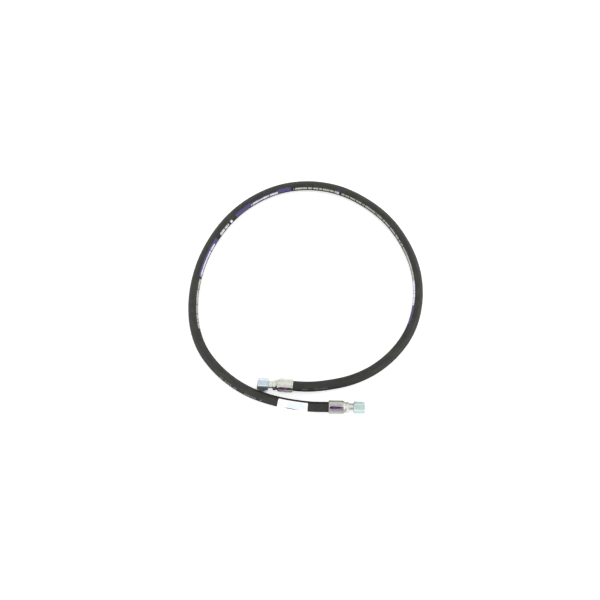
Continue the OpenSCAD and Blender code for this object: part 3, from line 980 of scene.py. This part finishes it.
def painted_shade_side(centre, half, strength):
    """Painted shade: one side of a piece made darker and greyer, with soft edges."""

    def paint(n, along, around, colour):
        low, high = half - PAINTED_SHADE_EDGE, half + PAINTED_SHADE_EDGE
        share = n.fit(n.apart(around, centre), low, high, strength, 0.0)
        return n.mix(share, colour, PAINTED_SHADE_METAL)

    return paint


def crimp_shadow(turn, strength):
    """Slight darkening beside the ridges that the crimping dies leave."""

    def paint(n, along, around, colour):
        off = from_middle(n, around, turn, 360 / DIE_COUNT)
        near = n.fit(off, 0.05, 0.17, 1.0, 0.0)
        beside = n.fit(off, 0.0, 0.07, 0.0, 1.0)
        return n.mix(n.times(near, beside, strength), colour, CRIMP_GREY)

    return paint


# ---------------------------------------------------------------- label

LABEL_GAP = 42
LABEL_LENGTH = 62
LABEL_END = LENGTH - HOSE_STOP - LABEL_GAP
LABEL_START = LABEL_END - LABEL_LENGTH
LABEL_TURN = (60, 240)
LABEL_THICKNESS = 0.25
LABEL_GLUE = 0.03
LABEL_CORNER = 2.0
LABEL_ROWS = 27
LABEL_COLUMNS = 33
LABEL_RIPPLE = 0.05
LABEL_SHARP_EDGE = 50
# Where something is printed: its middle, how far it is full on both sides, where it ends,
# and its strength. Along the label this is counted in mm from its start, round it in degrees.
WIDE_FIELD, NARROW_FIELD, FIELD_ROUND = (39, 17, 21, 1.0), (8, 3, 6, 0.5), (112, 28, 40, 1.0)
BAR_RUNS = [(16.6, 0.9, 1.1, 0.8), (28.5, 9.2, 9.4, 1.0), (41.6, 1.8, 2.0, 0.65)]
# The row of bars: pitch and share that a bar fills, half heights of the lowest and tallest,
# and the row's turn at one place along the label, from which it slants
LABEL_BARS, BAR_HALVES = (1.9, 0.9), (9.5, 13.0)
ROW_TURN, ROW_PLACE, ROW_SLANT = 161.0, 30.0, 0.1


def label_film():
    """White film with a pale blue printed field and one row of dark generic bars."""
    n = new_material("label_film")
    along, around = n.layout()
    place = n.object_place()
    from_start = n.math("SUBTRACT", along, LABEL_START)

    def near(value, middle, full, end, strength):
        return n.fit(n.apart(value, middle), full, end, strength, 0.0)

    field = n.math("MAXIMUM", near(from_start, *WIDE_FIELD), near(from_start, *NARROW_FIELD))
    field = n.times(field, near(around, *FIELD_ROUND))
    soft = n.noise(place, 60, 3)
    colour = n.mix(field, rgb("f4f4f5"), rgb("dfebf5"))
    colour = n.mix(n.times(field, n.fit(soft, 0.35, 0.65, 0.0, 0.45)), colour, rgb("f0eff2"))
    slant = n.times(n.math("SUBTRACT", from_start, ROW_PLACE), ROW_SLANT)
    off_row = n.apart(n.math("SUBTRACT", around, slant), ROW_TURN)
    chance, bar = uneven_bars(n, along, *LABEL_BARS)
    tall = n.math("LESS_THAN", off_row, n.fit(chance, 0, 1, *BAR_HALVES))
    run = near(from_start, *BAR_RUNS[0])
    for other in BAR_RUNS[1:]:
        run = n.math("MAXIMUM", run, near(from_start, *other))
    colour = n.mix(n.times(tall, bar, run), colour, rgb("141a22"))
    wrinkle = n.bump(n.noise(place, 220, 3), 0.12, 0.0001)
    return n.surface(colour, n.fit(soft, 0.3, 0.7, 0.3, 0.42), wrinkle, Specular_IOR_Level=0.5)


def make_label(material):
    """A curved sheet with rounded corners, stuck round the hose near fitting B."""
    ends = LABEL_CORNER * (1 - np.cos(np.linspace(0, math.pi / 2, 9)))
    between = np.linspace(LABEL_CORNER, LABEL_LENGTH - LABEL_CORNER, LABEL_ROWS)[1:-1]
    u = np.concatenate([ends, between, LABEL_LENGTH - ends[::-1]])
    near = np.minimum(np.minimum(u, LABEL_LENGTH - u), LABEL_CORNER)
    cut = LABEL_CORNER - np.sqrt(np.maximum(LABEL_CORNER**2 - (LABEL_CORNER - near) ** 2, 0))
    cut = np.degrees(cut / HOSE_R)
    across = LABEL_COLUMNS
    t = np.linspace(0, 1, across)
    turn = (LABEL_TURN[0] + cut)[:, None] * (1 - t) + (LABEL_TURN[1] - cut)[:, None] * t
    s = np.repeat((LABEL_START + u)[:, None], across, axis=1)
    lift = LABEL_RIPPLE * np.sin(s * 0.31 + turn * 0.05) * np.sin(turn * 0.09)
    inner_r = HOSE_R + LABEL_GLUE
    outer = on_hose(s, turn, inner_r + LABEL_THICKNESS + lift).reshape(-1, 3)
    inner = on_hose(s, turn, inner_r).reshape(-1, 3)
    rows, count = len(u), len(outer)
    faces = grid_faces(rows, across, flip=True)
    faces += [tuple(count + v for v in f[::-1]) for f in faces]
    rim = list(range(across))
    rim += [i * across + across - 1 for i in range(1, rows)]
    rim += [(rows - 1) * across + k for k in range(across - 2, -1, -1)]
    rim += [i * across for i in range(rows - 2, 0, -1)]
    for a, b in zip(rim, rim[1:] + rim[:1]):
        faces.append((a, b, b + count, a + count))
    layout = np.column_stack([np.tile(s.ravel(), 2), np.tile(turn.ravel(), 2)])
    piece = add_mesh("label_sheet", np.vstack([outer, inner]), faces, layout, LABEL_SHARP_EDGE)
    return finish_piece(piece, ROOT, material, ["hose_label"])


# ---------------------------------------------------------------- making it all

hose = make_hose()
label = make_label(label_film())

# The marker strokes along each ferrule: what marker_stroke asks for, in its order
NAVY, PURPLE_DYE, DEEP_DYE = rgb("221f3a"), rgb("5d2c72"), rgb("4a2164")
HALO = [(0.0, rgb("9a98a0")), (0.5, rgb("8f8898")), (1.0, rgb("b3aebb"))]
STROKES = {
    "a": [
        (-1.0, 36.0, 139, (17, 18), HALO, 0.5),
        (-0.5, 31.5, 140.5, (11, 14), [
            (0.0, rgb("131318")), (0.22, rgb("17161e")), (0.36, rgb("2f2439")),
            (0.5, rgb("6b4070")), (0.6, rgb("3c2045")), (0.7, rgb("2f1535")),
            (0.85, rgb("4a143a")), (1.0, rgb("5a2248")),
        ], 1.0),
        (32.4, 35.8, 146, (14, 14), [(0.0, rgb("2a1028"))], 0.9),
    ],
    "b": [
        (-1.5, 31.5, 206, (15, 15), [
            (0.0, rgb("a6a2b6")), (0.3, rgb("9585a8")), (1.0, rgb("a091ac")),
        ], 0.6),
        (2.0, 30.5, 190.5, (13, 7), [
            (0.0, NAVY), (0.14, NAVY), (0.27, PURPLE_DYE), (0.48, PURPLE_DYE), (0.64, DEEP_DYE),
            (0.85, rgb("5c4470")), (1.0, rgb("7a6c86")),
        ], 1.0),
    ],
}
# Ferrule B is given darker tones than A: painted shade
FERRULE_TONES = {"a": (rgb("d2d2ca"), rgb("bdbdb4")), "b": (rgb("c2c2ba"), rgb("b0b0a8"))}
STEM_TONES = (rgb("d6d7d2"), rgb("c2c4be"))
NUT_TONES = {"a": (rgb("bcc8cd"), rgb("aab9c0")), "b": (rgb("b6cbc6"), rgb("a6beb9"))}
WIRE_TONES = (rgb("c8c8c4"), rgb("adada9"))
# Painted shade on sides of each ferrule and stem: their middle and half width in degrees, strength
FERRULE_PAINTED_SHADE = {"a": [(90, 22, 0.4)], "b": [(122, 22, 0.3), (226, 18, 0.45)]}
STEM_PAINTED_SHADE = {"a": [], "b": [(125, 24, 0.45)]}

wire_zinc = plated_steel("spring_wire", *WIRE_TONES, 0.1, (0.2, 0.32))
for end_name in ("a", "b"):
    dies, _, flats = TURNS[end_name]
    paints = [crimp_shadow(dies, 0.3), *(painted_shade_side(*side) for side in FERRULE_PAINTED_SHADE[end_name])]
    paints += [marker_stroke(*stroke) for stroke in STROKES[end_name]]
    ferrule_zinc = plated_steel(
        f"ferrule_zinc_{end_name}", *FERRULE_TONES[end_name], 0.35, (0.1, 0.2), marks=paints,
    )
    stem_zinc = plated_steel(
        f"stem_zinc_{end_name}", *STEM_TONES, 0.4, (0.17, 0.25), 0.9,
        marks=[painted_shade_side(*side) for side in STEM_PAINTED_SHADE[end_name]],
    )
    nut_zinc = plated_steel(
        f"nut_zinc_{end_name}", *NUT_TONES[end_name], 0.12, (0.16, 0.26), 0.85,
        marks=[corner_highlights(flats)],
    )
    make_ferrule(end_name, ferrule_zinc)
    make_stem(end_name, stem_zinc)
    make_nut(end_name, nut_zinc)
    wire = frame["nodes"][f"retaining_wire_{end_name}"]
    wire.data.materials.clear()
    wire.data.materials.append(wire_zinc)

# ---------------------------------------------------------------- studio

FLOOR_HALF = 40.0
FLOOR_GLOW = 0.52
FLOOR_GREYS = [(0.79, 0.79, 0.79, 1.0), (0.81, 0.81, 0.81, 1.0)]
# A painted shadow on the floor, between nut A and the hose: its middle, how far its core
# and its soft edge reach along Y, how much longer it is along X, and the light left in it
CORNER_SHADE = ((-0.102, 0.0145, 0.0), 0.003, 0.0085, 1.8, 0.08)


def make_floor():
    """A grey table lit from below, which looks white and has hardly a shadow, with a painted
    shadow between nut A and the hose.
    """
    n = new_material("paper_floor")
    place = n.object_place()
    middle, core, reach, longer, least = CORNER_SHADE
    squeezed = n.add("VectorMath", operation="MULTIPLY")
    n.link(place, squeezed.inputs[0])
    squeezed.inputs[1].default_value = (1 / longer, 1.0, 1.0)
    apart = n.add("VectorMath", operation="DISTANCE")
    n.link(squeezed.outputs["Vector"], apart.inputs[0])
    apart.inputs[1].default_value = (middle[0] / longer, *middle[1:])
    lit = n.fit(apart.outputs["Value"], core, reach, least, 1.0)
    tone = n.mix(n.noise(place, 300, 3), *FLOOR_GREYS)
    paper = n.surface(
        n.mix(lit, rgb("181818"), tone), 0.9, Specular_IOR_Level=0.1,
        Emission_Color=(1.0, 1.0, 1.0, 1.0), Emission_Strength=n.times(lit, FLOOR_GLOW),
    )
    mesh = bpy.data.meshes.new("floor")
    corners = [(x * FLOOR_HALF, y * FLOOR_HALF, 0) for x, y in ((-1, -1), (1, -1), (1, 1), (-1, 1))]
    mesh.from_pydata(corners, [], [(0, 1, 2, 3)])
    floor = bpy.data.objects.new("floor", mesh)
    bpy.context.scene.collection.objects.link(floor)
    floor.data.materials.append(paper)


# Brightness of the white tent round the object, by height: (height of direction, strength)
TENT = [(-1.0, 1.1), (0.0, 1.15), (0.2, 1.15), (0.42, 1.1), (0.71, 1.15), (0.9, 1.22), (1.0, 1.22)]
# What 1.0 stands for in the tent's ramp, whose colours stay within 0 and 1
TENT_POWER = 2.0
# The tent is brighter towards +X: from and to this x of a direction, by this factor
SIDE_LIGHT = (0.3, 0.85, 1.6)
# A dark panel beside the camera: the x, y and height of directions between which it fades in
PANEL_X, PANEL_Y, PANEL_Z = (-0.04, 0.04), (-0.16, -0.34), (0.38, 0.46)
PANEL_SHADE = 0.45


def make_light():
    """A white tent, brighter towards +X, with a dark panel that fitting B mirrors."""
    world = bpy.data.worlds.new("white_tent")
    n = Nodes(world)
    x, y, z = n.split(n.add("TexCoord").outputs["Generated"])
    stops = [((height + 1) / 2, strength / TENT_POWER) for height, strength in TENT]
    tent = n.ramp(n.fit(z, -1, 1), stops)
    panel = n.times(*(
        n.fit(value, *bounds, kind="SMOOTHSTEP")
        for value, bounds in ((x, PANEL_X), (y, PANEL_Y), (z, PANEL_Z))
    ))
    low, high, factor = SIDE_LIGHT
    side = n.fit(x, low, high, TENT_POWER, TENT_POWER * factor, kind="SMOOTHSTEP")
    background = n.tree.nodes["Background"]
    n.link(tent.outputs["Color"], background.inputs["Color"])
    shaded = n.times(side, n.fit(panel, 0, 1, 1, PANEL_SHADE))
    n.link(shaded, background.inputs["Strength"])
    bpy.context.scene.world = world


make_floor()
make_light()
bpy.context.scene.view_settings.view_transform = "Standard"
